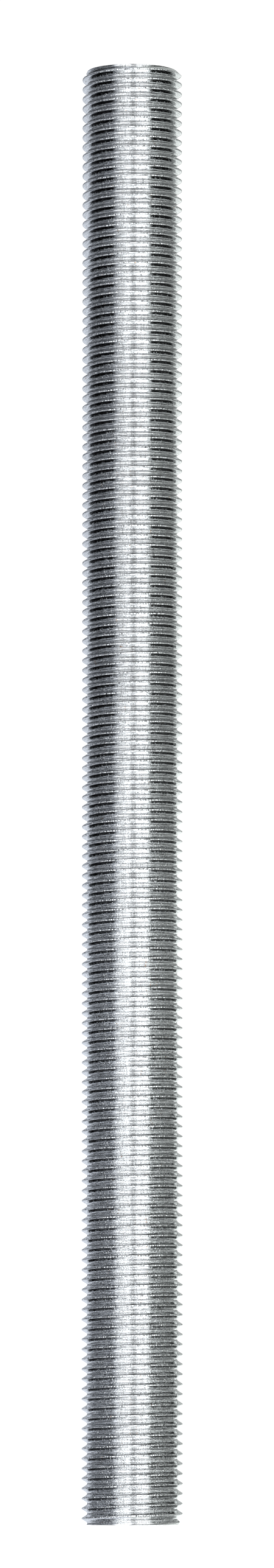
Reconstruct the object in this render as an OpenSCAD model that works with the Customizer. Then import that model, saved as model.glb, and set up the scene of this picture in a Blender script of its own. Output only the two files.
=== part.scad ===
// Fully threaded steel pipe nipple: a straight running thread from end to end
// on a plain tube. The axis is +Z and the bottom end face stands on z = 0.

/* [Tube] */
// Length from end face to end face
length = 139.7; // [50.8:6.35:152.4]
// Diameter of the bore right through
bore_d = 6.6; // [5.4:0.1:6.8]
// Size of the 45 degree chamfer at each mouth of the bore
mouth_chamfer = 0.3; // [0.1:0.05:0.4]

/* [Thread] */
// Diameter over the thread crests
major_d = 9.6; // [9.3:0.1:10.3]
// Threads in one inch of length
threads_per_inch = 27; // [20:1:28]
// Angle between the two flanks of one thread
thread_angle = 60; // [55:5:60]
// Direction from +X where the crest line leaves the bottom face
thread_start = 306; // [0:1:359]
// Facets around one turn of the thread
facets = 16; // [12:4:16]

/* [Hidden] */

INCH = 25.4;
pitch = INCH / threads_per_inch;
sharp_height = pitch / (2 * tan(thread_angle / 2));
thread_depth = sharp_height * 5 / 8;
crest_flat = pitch / 8;
major_r = major_d / 2;
root_r = major_r - thread_depth;
bore_r = bore_d / 2;
flank_slope = tan(thread_angle / 2);

// The ridge's foot only touches the tube: its chords clear the root cylinder
foot_r = root_r / cos(180 / facets);
least_ridge = 0.03; // the run-out stops when the ridge is this narrow or low
cut_past = 1; // how far cutting tools pass the end faces

// Half the ridge's width along the axis, at radius r
function half_width(r) = crest_flat / 2 + (major_r - r) * flank_slope;

// Height of the ridge's middle after i facets
function ridge_z(i) = pitch * (i / facets - thread_start / 360);

// Highest radius left of the ridge where its far flank meets the 45 degree
// end chamfer, which starts at the root on the end face. gap is how far the
// ridge's middle is from that face.
function chamfered_r(gap) =
    (gap + crest_flat / 2 + major_r * flank_slope + root_r - least_ridge)
    / (1 + flank_slope);

function ridge_top_r(z) = min(major_r, chamfered_r(z), chamfered_r(length - z));

// The end chamfer's height above the bottom face, at radius r
function chamfer_z(r) = max(0, r - root_r);

// Height of the ridge's lower and upper flank at radius r
function flank_below(z, r) = max(z - half_width(r), chamfer_z(r));
function flank_above(z, r) = min(z + half_width(r), length - chamfer_z(r));

// The ridge's cross-section after i facets: foot, crest, crest, foot
function section(i) =
    let (
        z = ridge_z(i),
        angle = 360 * i / facets,
        top_r = ridge_top_r(z),
        outline = [
            [foot_r, flank_below(z, foot_r)],
            [top_r, flank_below(z, top_r)],
            [top_r, flank_above(z, top_r)],
            [foot_r, flank_above(z, foot_r)],
        ]
    )
    [for (p = outline) [p[0] * cos(angle), p[0] * sin(angle), p[1]]];

// Facet numbers where the ridge begins, passes the middle and ends
runout = half_width(foot_r) - 2 * least_ridge;
function facet_at(z) = facets * (z / pitch + thread_start / 360);
first_facet = ceil(facet_at(-runout));
middle_facet = round(facet_at(length / 2));
last_facet = floor(facet_at(length + runout));

// One stretch of the helical ridge, closed at both ends
module ridge(from_facet, to_facet) {
    steps = to_facet - from_facet;
    corners = [0:3];
    points = [for (i = [from_facet:to_facet]) each section(i)];
    sides = [
        for (i = [0:steps - 1]) for (c = corners)
            let (a = 4 * i + c, b = 4 * i + (c + 1) % 4)
                each [[a, a + 4, b + 4], [a, b + 4, b]]
    ];
    start_cap = [for (c = corners) c];
    end_cap = [for (c = corners) 4 * steps + 3 - c];
    polyhedron(points, concat([start_cap], sides, [end_cap]), convexity = 10);
}

module bore_mouth() {
    translate([0, 0, -cut_past])
        cylinder(
            h = mouth_chamfer + cut_past,
            r1 = bore_r + mouth_chamfer + cut_past,
            r2 = bore_r,
            $fn = 96
        );
}

module tube_wall() {
    color("lightslategray")
        difference() {
            cylinder(h = length, r = root_r, $fn = 96);
            translate([0, 0, -cut_past])
                cylinder(h = length + 2 * cut_past, r = bore_r, $fn = 96);
            bore_mouth();
            translate([0, 0, length]) mirror([0, 0, 1]) bore_mouth();
        }
}

module lower_thread() {
    color("silver") ridge(first_facet, middle_facet);
}

module upper_thread() {
    color("silver") ridge(middle_facet, last_facet);
}

tube_wall();
lower_thread();
upper_thread();
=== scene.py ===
"""Looks of the threaded pipe nipple: zinc-plated steel, threaded from end to end."""

import math

import bmesh
import bpy
import numpy as np
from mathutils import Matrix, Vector


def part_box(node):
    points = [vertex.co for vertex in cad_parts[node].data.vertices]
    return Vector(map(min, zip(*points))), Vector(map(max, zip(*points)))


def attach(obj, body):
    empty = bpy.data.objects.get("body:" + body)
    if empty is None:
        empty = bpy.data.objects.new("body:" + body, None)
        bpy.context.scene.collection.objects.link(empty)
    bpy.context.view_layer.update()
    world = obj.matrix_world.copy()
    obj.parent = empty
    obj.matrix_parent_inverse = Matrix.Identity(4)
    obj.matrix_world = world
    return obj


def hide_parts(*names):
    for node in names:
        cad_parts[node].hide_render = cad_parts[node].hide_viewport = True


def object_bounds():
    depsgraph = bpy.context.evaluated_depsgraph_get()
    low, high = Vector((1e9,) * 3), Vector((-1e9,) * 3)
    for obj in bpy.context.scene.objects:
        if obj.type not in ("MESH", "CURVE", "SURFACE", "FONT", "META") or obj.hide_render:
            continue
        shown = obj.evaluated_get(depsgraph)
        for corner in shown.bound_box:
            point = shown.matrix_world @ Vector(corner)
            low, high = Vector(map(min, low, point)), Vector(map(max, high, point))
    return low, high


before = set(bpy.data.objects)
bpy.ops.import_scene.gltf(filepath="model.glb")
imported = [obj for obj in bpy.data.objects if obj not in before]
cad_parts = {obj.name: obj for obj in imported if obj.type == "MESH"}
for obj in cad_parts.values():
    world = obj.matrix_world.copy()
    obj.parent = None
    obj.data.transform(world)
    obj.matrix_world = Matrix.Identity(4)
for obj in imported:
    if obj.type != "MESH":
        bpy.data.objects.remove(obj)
cad_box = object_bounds()

MM = 0.001
TAU = 2 * math.pi

# ---------------------------------------------------------------- sizes, in metres
TUBE_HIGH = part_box("tube_wall")[1]
LENGTH = TUBE_HIGH.z
ROOT_R = TUBE_HIGH.x
MAJOR_R = cad_box[1].x
PITCH = 25.4 * MM / 27
BORE_R = 3.3 * MM
MOUTH_CHAMFER = 0.3 * MM
THREAD_START = math.radians(306)

# ---------------------------------------------------------------- camera
CAMERA_DISTANCE = 0.7
CAMERA_HEIGHT = 3.5 * MM
AIM_SIDE = 0.46 * MM
AIM_HEIGHT = 70.6 * MM
VIEW_TALL = 150.15 * MM
SENSOR = 36
NEAREST = 0.01
FARTHEST = 20


def make_camera():
    """Stands in front of the nipple near its foot and looks slightly up at its middle."""
    data = bpy.data.cameras.new("camera")
    camera = bpy.data.objects.new("camera", data)
    bpy.context.scene.collection.objects.link(camera)
    camera.location = (AIM_SIDE, -CAMERA_DISTANCE, CAMERA_HEIGHT)
    aim = Vector((AIM_SIDE, 0, AIM_HEIGHT)) - camera.location
    camera.rotation_mode = "QUATERNION"
    camera.rotation_quaternion = aim.to_track_quat("-Z", "Y")
    data.sensor_fit = "AUTO"
    data.sensor_width = SENSOR
    data.lens = data.sensor_width * aim.length / VIEW_TALL
    data.clip_start = NEAREST
    data.clip_end = FARTHEST
    bpy.context.scene.camera = camera


# ---------------------------------------------------------------- meshes
SEGMENTS = 72
CREST_HALF = PITCH / 16
CREST_ROUND = 0.06 * MM
CREST_SEAM = 0.012 * MM
FLANK = math.radians(32)
SLEEVE_INNER_R = ROOT_R - 0.03 * MM
END_R = ROOT_R + 0.05 * MM
PAST_END = 0.02 * MM
WELD = 0.001 * MM
MOUTH_SOFT = 0.03 * MM
MOUTH_LEAN = 0.7
MOUTH_STEP = 0.5
BORE_STEPS = 24

# where the profile's points lie, as shares of each arc or flank
CREST_SHARES = (0.5, 1)
FLANK_SHARES = (0.12, 0.88)
ROOT_SHARES = (1, 0.67, 0.33)


def half_profile():
    """(offset along the axis, radius) from the middle of the crest to the middle of the root."""
    depth = MAJOR_R - ROOT_R
    root_half = PITCH / 2 - CREST_HALF - depth * math.tan(FLANK)
    turn = math.radians(90) - FLANK
    crest_tangent = CREST_ROUND * math.tan(turn / 2)
    root_round = root_half / math.tan(turn / 2)
    points = [(0.0, MAJOR_R - CREST_SEAM), (CREST_HALF - crest_tangent, MAJOR_R)]
    for share in CREST_SHARES:
        a = turn * share
        s = CREST_HALF - crest_tangent + CREST_ROUND * math.sin(a)
        points.append((s, MAJOR_R - CREST_ROUND * (1 - math.cos(a))))
    arc = []
    for share in ROOT_SHARES:
        a = turn * share
        arc.append((PITCH / 2 - root_round * math.sin(a), ROOT_R + root_round * (1 - math.cos(a))))
    top, foot = points[-1], arc[0]
    for share in FLANK_SHARES:
        points.append(tuple(t + (f - t) * share for t, f in zip(top, foot)))
    points += arc
    points.append((PITCH / 2, ROOT_R))
    return points


def full_profile():
    """One whole pitch, from the middle of one root to the middle of the next."""
    half = half_profile()
    return [(-s, r) for s, r in reversed(half)] + half[1:]


def along_profile(profile):
    """How far along the profile each of its points is, from 0 to 1."""
    lengths = [0.0]
    for a, b in zip(profile, profile[1:]):
        lengths.append(lengths[-1] + math.dist(a, b))
    return [one / lengths[-1] for one in lengths]


def helix_points(profile, first, last):
    """The profile swept along the helix, one ring of points per segment, chamfered at the ends."""
    points = []
    for i in range(first, last + 1):
        angle = TAU * i / SEGMENTS
        z_mid = PITCH * (angle - THREAD_START) / TAU
        for s, r in profile:
            z = z_mid + s
            from_end = min(z, LENGTH - z)
            r = min(r, END_R + max(from_end, -PAST_END))
            points.append((r * math.cos(angle), r * math.sin(angle), z))
    return points


def helix_skin(z_low, z_high):
    """The threaded surface between two heights, as an open strip that runs one turn past both."""
    profile = full_profile()
    columns = len(profile)
    shares = along_profile(profile)
    first = math.floor(((z_low / PITCH - 1) + THREAD_START / TAU) * SEGMENTS)
    last = math.ceil(((z_high / PITCH + 1) + THREAD_START / TAU) * SEGMENTS)
    faces, uvs = [], []
    for i in range(last - first):
        u0, u1 = (first + i) / SEGMENTS, (first + i + 1) / SEGMENTS
        for j in range(columns - 1):
            a = i * columns + j
            faces.append((a, a + columns, a + columns + 1, a + 1))
            v0, v1 = shares[j], shares[j + 1]
            uvs += [(u0, v0), (u1, v0), (u1, v1), (u0, v1)]
    mesh = bpy.data.meshes.new("helix")
    mesh.from_pydata(helix_points(profile, first, last), [], faces)
    layer = mesh.uv_layers.new(name="thread")
    layer.data.foreach_set("uv", np.array(uvs, np.float32).ravel())
    return mesh


def close_rim(bm, z):
    """A flat ring from the skin's edge in to the sleeve's inner wall, whose new edges it returns."""
    rim = [e for e in bm.edges if e.is_boundary and abs(e.verts[0].co.z - z) < WELD]
    inner = {}
    for e in rim:
        e.smooth = False
        for v in e.verts:
            if v not in inner:
                flat = v.co.xy.normalized() * SLEEVE_INNER_R
                inner[v] = bm.verts.new((flat.x, flat.y, z))
    made = []
    for e in rim:
        a, b = e.verts
        bm.faces.new((a, b, inner[b], inner[a]))
        edge = bm.edges.get((inner[a], inner[b]))
        edge.smooth = False
        made.append(edge)
    return made


def finish_piece(name, bm):
    """The mesh as an object in the scene, with its faces turned outward."""
    bmesh.ops.recalc_face_normals(bm, faces=bm.faces)
    mesh = bpy.data.meshes.new(name)
    bm.to_mesh(mesh)
    bm.free()
    piece = bpy.data.objects.new(name, mesh)
    bpy.context.scene.collection.objects.link(piece)
    return piece


def thread_piece(name, z_low, z_high):
    """A closed threaded sleeve between two heights."""
    bm = bmesh.new()
    bm.from_mesh(helix_skin(z_low, z_high))
    bmesh.ops.remove_doubles(bm, verts=bm.verts, dist=WELD)
    for z, outward in ((z_low, -1), (z_high, 1)):
        bmesh.ops.bisect_plane(
            bm,
            geom=bm.verts[:] + bm.edges[:] + bm.faces[:],
            plane_co=(0, 0, z),
            plane_no=(0, 0, outward),
            clear_outer=True,
        )
    wall_edges = []
    for z in (z_low, z_high):
        wall_edges += close_rim(bm, z)
    bmesh.ops.bridge_loops(bm, edges=wall_edges)
    for face in bm.faces:
        face.smooth = True
    return finish_piece(name, bm)


def tube_outline():
    """(radius, height) up the bore from the lower end face to the upper one, mouths eased."""
    mouth_r = BORE_R + MOUTH_CHAMFER
    lower = [
        (SLEEVE_INNER_R, 0),
        (mouth_r + MOUTH_SOFT, 0),
        (mouth_r - MOUTH_SOFT * MOUTH_LEAN, MOUTH_SOFT * MOUTH_STEP),
        (BORE_R + MOUTH_SOFT * MOUTH_LEAN, MOUTH_CHAMFER - MOUTH_SOFT),
        (BORE_R, MOUTH_CHAMFER + MOUTH_SOFT),
    ]
    bore = []
    for k in range(1, BORE_STEPS):
        z = MOUTH_CHAMFER + (LENGTH - 2 * MOUTH_CHAMFER) * k / BORE_STEPS
        bore.append((BORE_R, z))
    upper = [(r, LENGTH - z) for r, z in reversed(lower)]
    return lower + bore + upper


def tube_piece(name):
    """The wall inside the thread: end faces, bore mouths and bore, turned from one outline."""
    bm = bmesh.new()
    rings = []
    for r, z in tube_outline():
        ring = []
        for i in range(SEGMENTS):
            a = TAU * i / SEGMENTS
            ring.append(bm.verts.new((r * math.cos(a), r * math.sin(a), z)))
        rings.append(ring)
    for k in range(len(rings)):
        a, b = rings[k], rings[(k + 1) % len(rings)]
        for i in range(SEGMENTS):
            j = (i + 1) % SEGMENTS
            face = bm.faces.new((a[i], a[j], b[j], b[i]))
            face.smooth = True
    for ring in (rings[0], rings[-1]):
        for i in range(SEGMENTS):
            bm.edges.get((ring[i], ring[(i + 1) % SEGMENTS])).smooth = False
    return finish_piece(name, bm)


# ---------------------------------------------------------------- nodes
class Nodes:
    """A short way to write a node tree."""

    def __init__(self, tree):
        self.tree = tree
        tree.nodes.clear()

    def add(self, kind, settings=None, **inputs):
        node = self.tree.nodes.new(kind)
        for key, value in (settings or {}).items():
            setattr(node, key, value)
        for key, value in inputs.items():
            self.put(node.inputs[key.replace("_", " ")], value)
        return node

    def put(self, socket, value):
        if isinstance(value, bpy.types.NodeSocket):
            self.tree.links.new(value, socket)
        else:
            socket.default_value = value

    def math(self, operation, a, b=0.0, c=0.0):
        node = self.tree.nodes.new("ShaderNodeMath")
        node.operation = operation
        for socket, value in zip(node.inputs, (a, b, c)):
            self.put(socket, value)
        return node.outputs[0]

    def times(self, a, b):
        return self.math("MULTIPLY", a, b)

    def mix(self, share, first, second):
        """From first to second as share goes from 0 to 1."""
        node = self.add("ShaderNodeMix", {"data_type": "FLOAT"})
        for socket, given in zip((node.inputs[0], node.inputs[2], node.inputs[3]), (share, first, second)):
            self.put(socket, given)
        return node.outputs[0]

    def mix_colours(self, share, first, second):
        node = self.add("ShaderNodeMix", {"data_type": "RGBA"})
        for socket, given in zip((node.inputs[0], node.inputs[6], node.inputs[7]), (share, first, second)):
            self.put(socket, given)
        return node.outputs[2]

    def ramp(self, value, low, high, at_low=0.0, at_high=1.0):
        """A smooth climb from at_low to at_high as value goes from low to high."""
        node = self.add("ShaderNodeMapRange", {"interpolation_type": "SMOOTHSTEP"}, Value=value)
        limits = {"From Min": low, "From Max": high, "To Min": at_low, "To Max": at_high}
        for name, given in limits.items():
            self.put(node.inputs[name], given)
        return node.outputs[0]

    def noise(self, where, scale, detail, rough):
        node = self.add("ShaderNodeTexNoise", Vector=where, Scale=scale, Detail=detail, Roughness=rough)
        return node.outputs[0]


def new_material(name):
    """A material and the writer of its empty node tree."""
    material = bpy.data.materials.new(name)
    material.use_nodes = True
    return material, Nodes(material.node_tree)


# ---------------------------------------------------------------- finish of the thread
# A ramp is (where it starts, where it ends) and, where given, its values at those two places.
# Across the thread, CREST_MIDDLE is the middle of the crest, and 0 and 1 are the middles of the roots.
CREST_MIDDLE = 0.5
CREST = (0.06, 0.035)
OFF_CREST = (0.05, 0.09)
ROOT = (0.3, 0.36)
# Painted shade: a narrow band just under each crest is darkened in the colour, standing in for the shade
# on the under-flank.
SHADE_UNDER_CREST_FOOT = (0.41, 0.43)
SHADE_UNDER_CREST_TOP = (0.468, 0.455)
SHADE_UNDER_CREST_TONE = 0.7

# A noise is (waves per metre, detail, roughness of the detail).
GRAIN_NOISE = (12000, 2, 0.7)
SPECK_NOISE = (7000, 1, 0.5)
FLECK_NOISE = (2600, 2, 0.6)
BLOTCH_NOISE = (1500, 3, 0.6)

# The lines' noise has its waves per turn and per pitch in LINES_SCALE.
LINES_NOISE = (1, 3, 0.5)
LINES_SCALE = (13, 17, 1)

GRAIN_RANGE = (0.3, 0.6)
GRAIN_DARK = 0.48
GRAIN_DARK_ON_CREST = 0.6
GRAIN_LIGHT = 0.98
LINES_TONE = (0.38, 0.5, 0.75, 1.0)
BLOTCH_TONE = (0.3, 0.7, 0.92, 1.0)
# The flanks are darker towards the top.
UPPER_HALF_TONE = (LENGTH * 0.35, LENGTH * 0.62, 0.98, 0.82)
RUST_FLECKS = (0.72, 0.76)
ZINC = (0.975, 0.99, 1.0)
RUST = (0.75, 0.52, 0.36)
THREAD_ROUGHNESS = (0.3, 0.7, 0.09, 0.05)

GRAIN_HEIGHT = 0.0015 * MM
LINES_HEIGHT = 0.003 * MM
CREST_HEIGHT = 0.1 * MM
SPECK_MIDDLE = 0.5
SPARK_LEVEL = 0.6
FLANK_SPARK = 0.02 * MM
ROUGH_SPARK = 0.17 * MM


def thread_tone(n, place, across, from_crest, on_crest, grain, lines):
    """How light the plate is: grain and lines, darker flanks in the upper half, and painted shade in a
    band under the crest.
    """
    tone = n.ramp(grain, *GRAIN_RANGE, n.mix(on_crest, GRAIN_DARK, GRAIN_DARK_ON_CREST), GRAIN_LIGHT)
    tone = n.times(tone, n.ramp(lines, *LINES_TONE))
    blotch = n.noise(place, *BLOTCH_NOISE)
    tone = n.times(tone, n.ramp(blotch, *BLOTCH_TONE))
    along = n.add("ShaderNodeSeparateXYZ", Vector=place).outputs["Z"]
    # the flanks grow darker towards the top
    darker_up_high = n.ramp(along, *UPPER_HALF_TONE)
    tone = n.times(tone, n.mix(n.ramp(from_crest, *OFF_CREST), 1.0, darker_up_high))
    # painted shade: the band just under the crest is darkened
    painted_shade_under_crest = n.times(n.ramp(across, *SHADE_UNDER_CREST_FOOT), n.ramp(across, *SHADE_UNDER_CREST_TOP))
    return n.times(tone, n.mix(painted_shade_under_crest, 1.0, SHADE_UNDER_CREST_TONE))


def thread_colour(n, place, tone):
    """Clear zinc with a few tiny flecks of rust."""
    rust = n.ramp(n.noise(place, *FLECK_NOISE), *RUST_FLECKS)
    colour = n.add("ShaderNodeCombineColor")
    for channel, clean, rusty in zip(("Red", "Green", "Blue"), ZINC, RUST):
        n.put(colour.inputs[channel], n.times(tone, n.mix(rust, clean, rusty)))
    return colour.outputs[0]


def thread_bump(n, from_crest, on_crest, grain, lines, speck):
    """Fine grain and lines all over, with strong specks on the crest and in the root only."""
    height = n.times(grain, GRAIN_HEIGHT)
    height = n.math("MULTIPLY_ADD", lines, LINES_HEIGHT, height)
    crest_bump = n.times(on_crest, n.math("SUBTRACT", speck, SPECK_MIDDLE))
    height = n.math("MULTIPLY_ADD", crest_bump, CREST_HEIGHT, height)
    rough_part = n.math("MAXIMUM", on_crest, n.ramp(from_crest, *ROOT))
    peaks = n.math("SUBTRACT", n.math("MAXIMUM", speck, SPARK_LEVEL), SPARK_LEVEL)
    spark = n.times(peaks, n.mix(rough_part, FLANK_SPARK, ROUGH_SPARK))
    height = n.math("ADD", height, spark)
    return n.add("ShaderNodeBump", Strength=1.0, Distance=1.0, Height=height).outputs[0]


def plated_steel():
    """Clear zinc plate over a rolled thread."""
    material, n = new_material("plated_thread")
    uv = n.add("ShaderNodeUVMap", {"uv_map": "thread"}).outputs["UV"]
    place = n.add("ShaderNodeTexCoord").outputs["Object"]
    across = n.add("ShaderNodeSeparateXYZ", Vector=uv).outputs["Y"]
    from_crest = n.math("ABSOLUTE", n.math("SUBTRACT", across, CREST_MIDDLE))
    on_crest = n.ramp(from_crest, *CREST)
    grain = n.noise(place, *GRAIN_NOISE)
    speck = n.noise(place, *SPECK_NOISE)
    long_lines = n.add("ShaderNodeMapping", Vector=uv, Scale=LINES_SCALE)
    lines = n.noise(long_lines.outputs[0], *LINES_NOISE)
    tone = thread_tone(n, place, across, from_crest, on_crest, grain, lines)
    shader = n.add("ShaderNodeBsdfPrincipled", Metallic=1.0)
    n.put(shader.inputs["Base Color"], thread_colour(n, place, tone))
    n.put(shader.inputs["Roughness"], n.ramp(grain, *THREAD_ROUGHNESS))
    n.put(shader.inputs["Normal"], thread_bump(n, from_crest, on_crest, grain, lines, speck))
    n.add("ShaderNodeOutputMaterial", Surface=shader.outputs[0])
    return material


# ---------------------------------------------------------------- finish of the tube
TUBE_COLOUR = (0.56, 0.57, 0.59, 1)
TUBE_GRAIN_NOISE = (9000, 3, 0.6)
TUBE_GRAIN_HEIGHT = 0.008 * MM
TUBE_BUMP = 0.5
TUBE_ROUGHNESS = (0.25, 0.5)


def tube_steel():
    """The drawn wall and the cut end faces: duller than the thread, with a fine grain."""
    material, n = new_material("plated_tube")
    place = n.add("ShaderNodeTexCoord").outputs["Object"]
    grain = n.noise(place, *TUBE_GRAIN_NOISE)
    bump = n.add("ShaderNodeBump", Strength=TUBE_BUMP, Distance=TUBE_GRAIN_HEIGHT, Height=grain)
    least, most = TUBE_ROUGHNESS
    rough = n.add("ShaderNodeMapRange", Value=grain, To_Min=least, To_Max=most)
    shader = n.add("ShaderNodeBsdfPrincipled", Metallic=1.0, Base_Color=TUBE_COLOUR)
    n.put(shader.inputs["Roughness"], rough.outputs[0])
    n.put(shader.inputs["Normal"], bump.outputs[0])
    n.add("ShaderNodeOutputMaterial", Surface=shader.outputs[0])
    return material


# ---------------------------------------------------------------- floor
FLOOR_SIZE = 6
FLOOR_COLOUR = (0.9, 0.9, 0.9, 1)
FLOOR_GLOW = 0.8
FLOOR_ROUGHNESS = 0.9
WHITE = (1, 1, 1, 1)


def make_floor():
    """A wide pale floor, which reflections don't show."""
    bpy.ops.mesh.primitive_plane_add(size=FLOOR_SIZE, location=(0, 0, 0))
    floor = bpy.context.active_object
    floor.name = "floor"
    floor.visible_glossy = False
    material, n = new_material("pale_floor")
    shader = n.add("ShaderNodeBsdfPrincipled", Roughness=FLOOR_ROUGHNESS, Base_Color=FLOOR_COLOUR)
    n.put(shader.inputs["Emission Color"], WHITE)
    n.put(shader.inputs["Emission Strength"], FLOOR_GLOW)
    n.add("ShaderNodeOutputMaterial", Surface=shader.outputs[0])
    floor.data.materials.append(material)


# ---------------------------------------------------------------- light
# turn is a direction's angle around the nipple, 0 to the front and positive to the right.
# rise is its angle above the horizon. Both are in degrees. Ramps are written as in the finish.

# the front
LOW_FRONT = (-4, 6, 1.85, 1.2)
HIGH_FRONT = (-44, 8, 1.0, 3.2)
HIGH_FRONT_BY_RISE = (25, 34, 0.5, 1.5)
LOW_TO_HIGH = (2, 8)
GAP_TURN = 3
GAP_CORE = 3
GAP_WIDTH = (10, 40, 13, 15)
GAP_DEPTH = -0.52
FRONT_TOP = (44, 50, 1.0, 0.25)
FRONT_FOOT = (-34, -44, 1.0, 0.32)

# the sides: the black cards' edges slope, by these slopes and starting heights
CARD_FOOT_SLOPE = -0.175
CARD_FOOT = 33.0
CARD_TOP_SLOPE = -0.32
CARD_TOP = 58.8
WALL_EDGE = (3, -2)
WALL_LEFT_LOW = 1.4
WALL_LEFT_HIGH = (-90, -66, 0.04, 0.4)
WALL_LEFT_STEP = (1, 4)
WALL_RIGHT_LOW = 0.75
WALL_RIGHT_HIGH = (60, 90, 1.3, 0.75)
WALL_RIGHT_STEP = (2, 5)
LEFT_TO_RIGHT = (-1, 1)
WALL_FOOT = (-5, -1, 0.05, 1.4)
OVER_CARD = (-1, 3)
OVER_CARD_LIGHT = 0.1
UNDER_CARD = (1, -3)
UNDER_CARD_LIGHT = (-46, -37, 0.12, 0.45)

# the back, and where each part gives way to the next
BACK_LEFT_TO_RIGHT = (0, 1, 0.85, 1.1)
BACK_STEP = (1, 4)
BACK_HIGH = 0.04
BACK_OVER_CARD = 0.5
FRONT_TO_SIDE = (36, 58)
SIDE_TO_BACK_TURN = (0, 1, 127, 134)
SIDE_TO_BACK = (0, 12)
CEILING = (58, 68)
CEILING_LIGHT = 0.75
TABLE = (-54, -64)
TABLE_LIGHT = 1.1

# colours
FRONT_TINT = (0.985, 1.0, 1.015, 1)
LEFT_TINT = (0.93, 0.985, 1.09, 1)
RIGHT_TINT = (0.97, 1.02, 1.0, 1)
TINT_BY_TURN = (-60, 60)
TINT_FROM_FRONT = (30, 60)
BACKGROUND = 1.05


def front_light(n, turn, rise):
    """A broad soft front: brighter at the left when low, at the right when high, dim in the middle."""
    low = n.ramp(turn, *LOW_FRONT)
    high = n.times(n.ramp(turn, *HIGH_FRONT), n.ramp(rise, *HIGH_FRONT_BY_RISE))
    front = n.mix(n.ramp(rise, *LOW_TO_HIGH), low, high)
    from_gap = n.math("ABSOLUTE", n.math("SUBTRACT", turn, GAP_TURN))
    gap = n.ramp(from_gap, n.ramp(rise, *GAP_WIDTH), GAP_CORE)
    front = n.times(front, n.math("MULTIPLY_ADD", gap, GAP_DEPTH, 1.0))
    front = n.times(front, n.ramp(rise, *FRONT_TOP))
    return n.times(front, n.ramp(rise, *FRONT_FOOT))


def side_light(n, turn, rise, away, over_card, card_top):
    """Grey walls near the horizon, then a black card above and below them, dim light beyond."""
    card_foot = n.math("MULTIPLY_ADD", away, CARD_FOOT_SLOPE, CARD_FOOT)
    wall = n.ramp(n.math("SUBTRACT", n.math("ABSOLUTE", rise), card_foot), *WALL_EDGE)
    left = n.mix(n.ramp(rise, *WALL_LEFT_STEP), WALL_LEFT_LOW, n.ramp(turn, *WALL_LEFT_HIGH))
    right = n.mix(n.ramp(rise, *WALL_RIGHT_STEP), WALL_RIGHT_LOW, n.ramp(turn, *WALL_RIGHT_HIGH))
    most = n.mix(n.ramp(turn, *LEFT_TO_RIGHT), left, right)
    wall = n.times(wall, n.math("MINIMUM", most, n.ramp(rise, *WALL_FOOT)))
    side = n.math("MULTIPLY_ADD", over_card, OVER_CARD_LIGHT, wall)
    under_card = n.ramp(n.math("ADD", rise, card_top), *UNDER_CARD)
    under_card = n.times(under_card, n.ramp(rise, *UNDER_CARD_LIGHT))
    return n.math("ADD", under_card, side)


def back_light(n, turn, rise, over_card):
    """Light below the horizon, dark above it, and some light over the cards."""
    back = n.ramp(rise, *BACK_STEP, n.ramp(turn, *BACK_LEFT_TO_RIGHT), BACK_HIGH)
    return n.math("MULTIPLY_ADD", over_card, BACK_OVER_CARD, back)


def light_strength(n, turn, rise, away):
    """The strength of the light from each direction."""
    card_top = n.math("MULTIPLY_ADD", away, CARD_TOP_SLOPE, CARD_TOP)
    over_card = n.ramp(n.math("SUBTRACT", rise, card_top), *OVER_CARD)
    front = front_light(n, turn, rise)
    side = side_light(n, turn, rise, away, over_card, card_top)
    light = n.mix(n.ramp(away, *FRONT_TO_SIDE), front, side)
    past_side = n.math("SUBTRACT", away, n.ramp(turn, *SIDE_TO_BACK_TURN))
    light = n.mix(n.ramp(past_side, *SIDE_TO_BACK), light, back_light(n, turn, rise, over_card))
    light = n.mix(n.ramp(rise, *CEILING), light, CEILING_LIGHT)
    return n.mix(n.ramp(rise, *TABLE), light, TABLE_LIGHT)


def light_colour(n, turn, away):
    """Nearly white in front, bluer at the left and greener at the right."""
    sides = n.mix_colours(n.ramp(turn, *TINT_BY_TURN), LEFT_TINT, RIGHT_TINT)
    return n.mix_colours(n.ramp(away, *TINT_FROM_FRONT), FRONT_TINT, sides)


def make_world():
    """A light tent, painted by direction, with plain white behind what the camera sees."""
    world = bpy.data.worlds.new("studio")
    bpy.context.scene.world = world
    world.use_nodes = True
    n = Nodes(world.node_tree)
    direction = n.add("ShaderNodeTexCoord").outputs["Generated"]
    d = n.add("ShaderNodeSeparateXYZ", Vector=direction)
    to_front = n.times(d.outputs["Y"], -1.0)
    turn = n.math("DEGREES", n.math("ARCTAN2", d.outputs["X"], to_front))
    rise = n.math("DEGREES", n.math("ARCSINE", d.outputs["Z"]))
    away = n.math("ABSOLUTE", turn)
    light = light_strength(n, turn, rise, away)
    reflected = n.add("ShaderNodeBackground", Strength=light, Color=light_colour(n, turn, away))
    white = n.add("ShaderNodeBackground", Strength=BACKGROUND, Color=WHITE)
    seen = n.add("ShaderNodeLightPath").outputs["Is Camera Ray"]
    both = n.add("ShaderNodeMixShader", Fac=seen)
    n.put(both.inputs[1], reflected.outputs[0])
    n.put(both.inputs[2], white.outputs[0])
    n.add("ShaderNodeOutputWorld", Surface=both.outputs[0])
    bpy.context.scene.view_settings.view_transform = "Standard"


# ---------------------------------------------------------------- the nipple
def make_nipple():
    """Both halves of the thread and the tube inside them, each in place of its CAD node."""
    thread = plated_steel()
    middle = LENGTH / 2
    halves = (("lower_thread", 0.0, middle), ("upper_thread", middle, LENGTH))
    for node, z_low, z_high in halves:
        piece = thread_piece(node + "_fine", z_low, z_high)
        piece.data.materials.append(thread)
        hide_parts(node)
        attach(piece, "root")
    tube = tube_piece("tube_wall_fine")
    tube.data.materials.append(tube_steel())
    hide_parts("tube_wall")
    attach(tube, "root")


make_camera()
make_world()
make_floor()
make_nipple()
